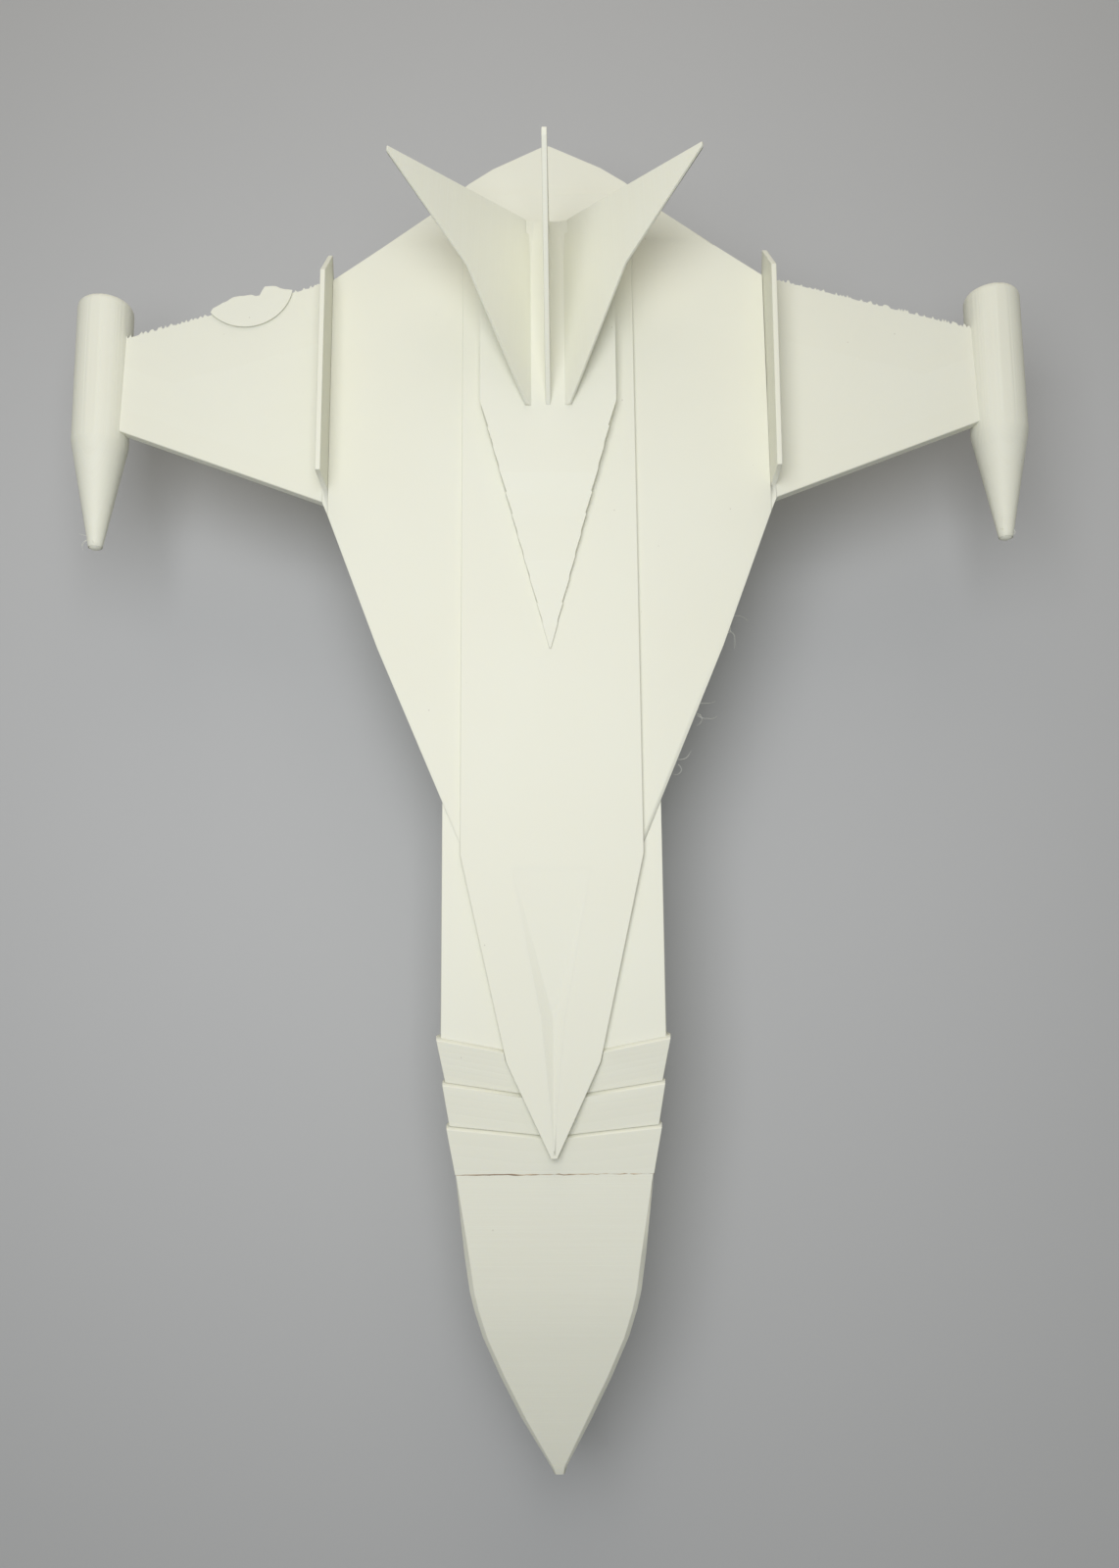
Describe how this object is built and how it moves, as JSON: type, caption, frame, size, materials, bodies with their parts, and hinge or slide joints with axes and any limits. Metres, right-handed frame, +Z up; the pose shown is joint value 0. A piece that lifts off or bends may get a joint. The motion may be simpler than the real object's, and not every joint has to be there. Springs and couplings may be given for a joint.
{
  "type": "delta-wing aircraft display model",
  "caption": "Printed plastic display model of a delta-winged aircraft with a deep hull, faceted nose, outward-leaning fins, fences and wing-tip pods.",
  "frame": {"origin": "on the table under the middle of the model's bounding box, at the height of the flat belly", "axes": "-Y towards the nose tip, +Y towards the tail, +Z up, and the span along X, with the disc remnant on the -X wing"},
  "size_m": [0.2068, 0.278, 0.0698],
  "materials": {
    "ivory_plastic": "printed satin with fine layer lines",
    "joining_plastic": "plain satin, hidden inside"
  },
  "bodies": {
    "root": {"arrow_fairing": "ivory_plastic", "brim_ear": "ivory_plastic", "canopy": "ivory_plastic", "centre_fin": "ivory_plastic", "dorsal_deck": "ivory_plastic", "fence_left": "ivory_plastic", "fence_right": "ivory_plastic", "gill_band_1": "ivory_plastic", "gill_band_2": "ivory_plastic", "gill_band_3": "ivory_plastic", "hull_lower": "ivory_plastic", "hull_upper": "ivory_plastic", "nose_bulkhead": "ivory_plastic", "nose_cone": "ivory_plastic", "nose_dowel_left": "joining_plastic", "nose_dowel_right": "joining_plastic", "pod_barrel_left": "ivory_plastic", "pod_barrel_right": "ivory_plastic", "pod_cone_left": "ivory_plastic", "pod_cone_right": "ivory_plastic", "tail_plate": "ivory_plastic", "v_fin_left": "ivory_plastic", "v_fin_right": "ivory_plastic", "wing_centre_lower": "ivory_plastic", "wing_centre_upper": "ivory_plastic", "wing_joiner_left": "joining_plastic", "wing_joiner_right": "joining_plastic", "wing_panel_left_lower": "ivory_plastic", "wing_panel_left_upper": "ivory_plastic", "wing_panel_right_lower": "ivory_plastic", "wing_panel_right_upper": "ivory_plastic", "wing_peg_front": "joining_plastic", "wing_peg_rear": "joining_plastic"}
  },
  "joints": []
}
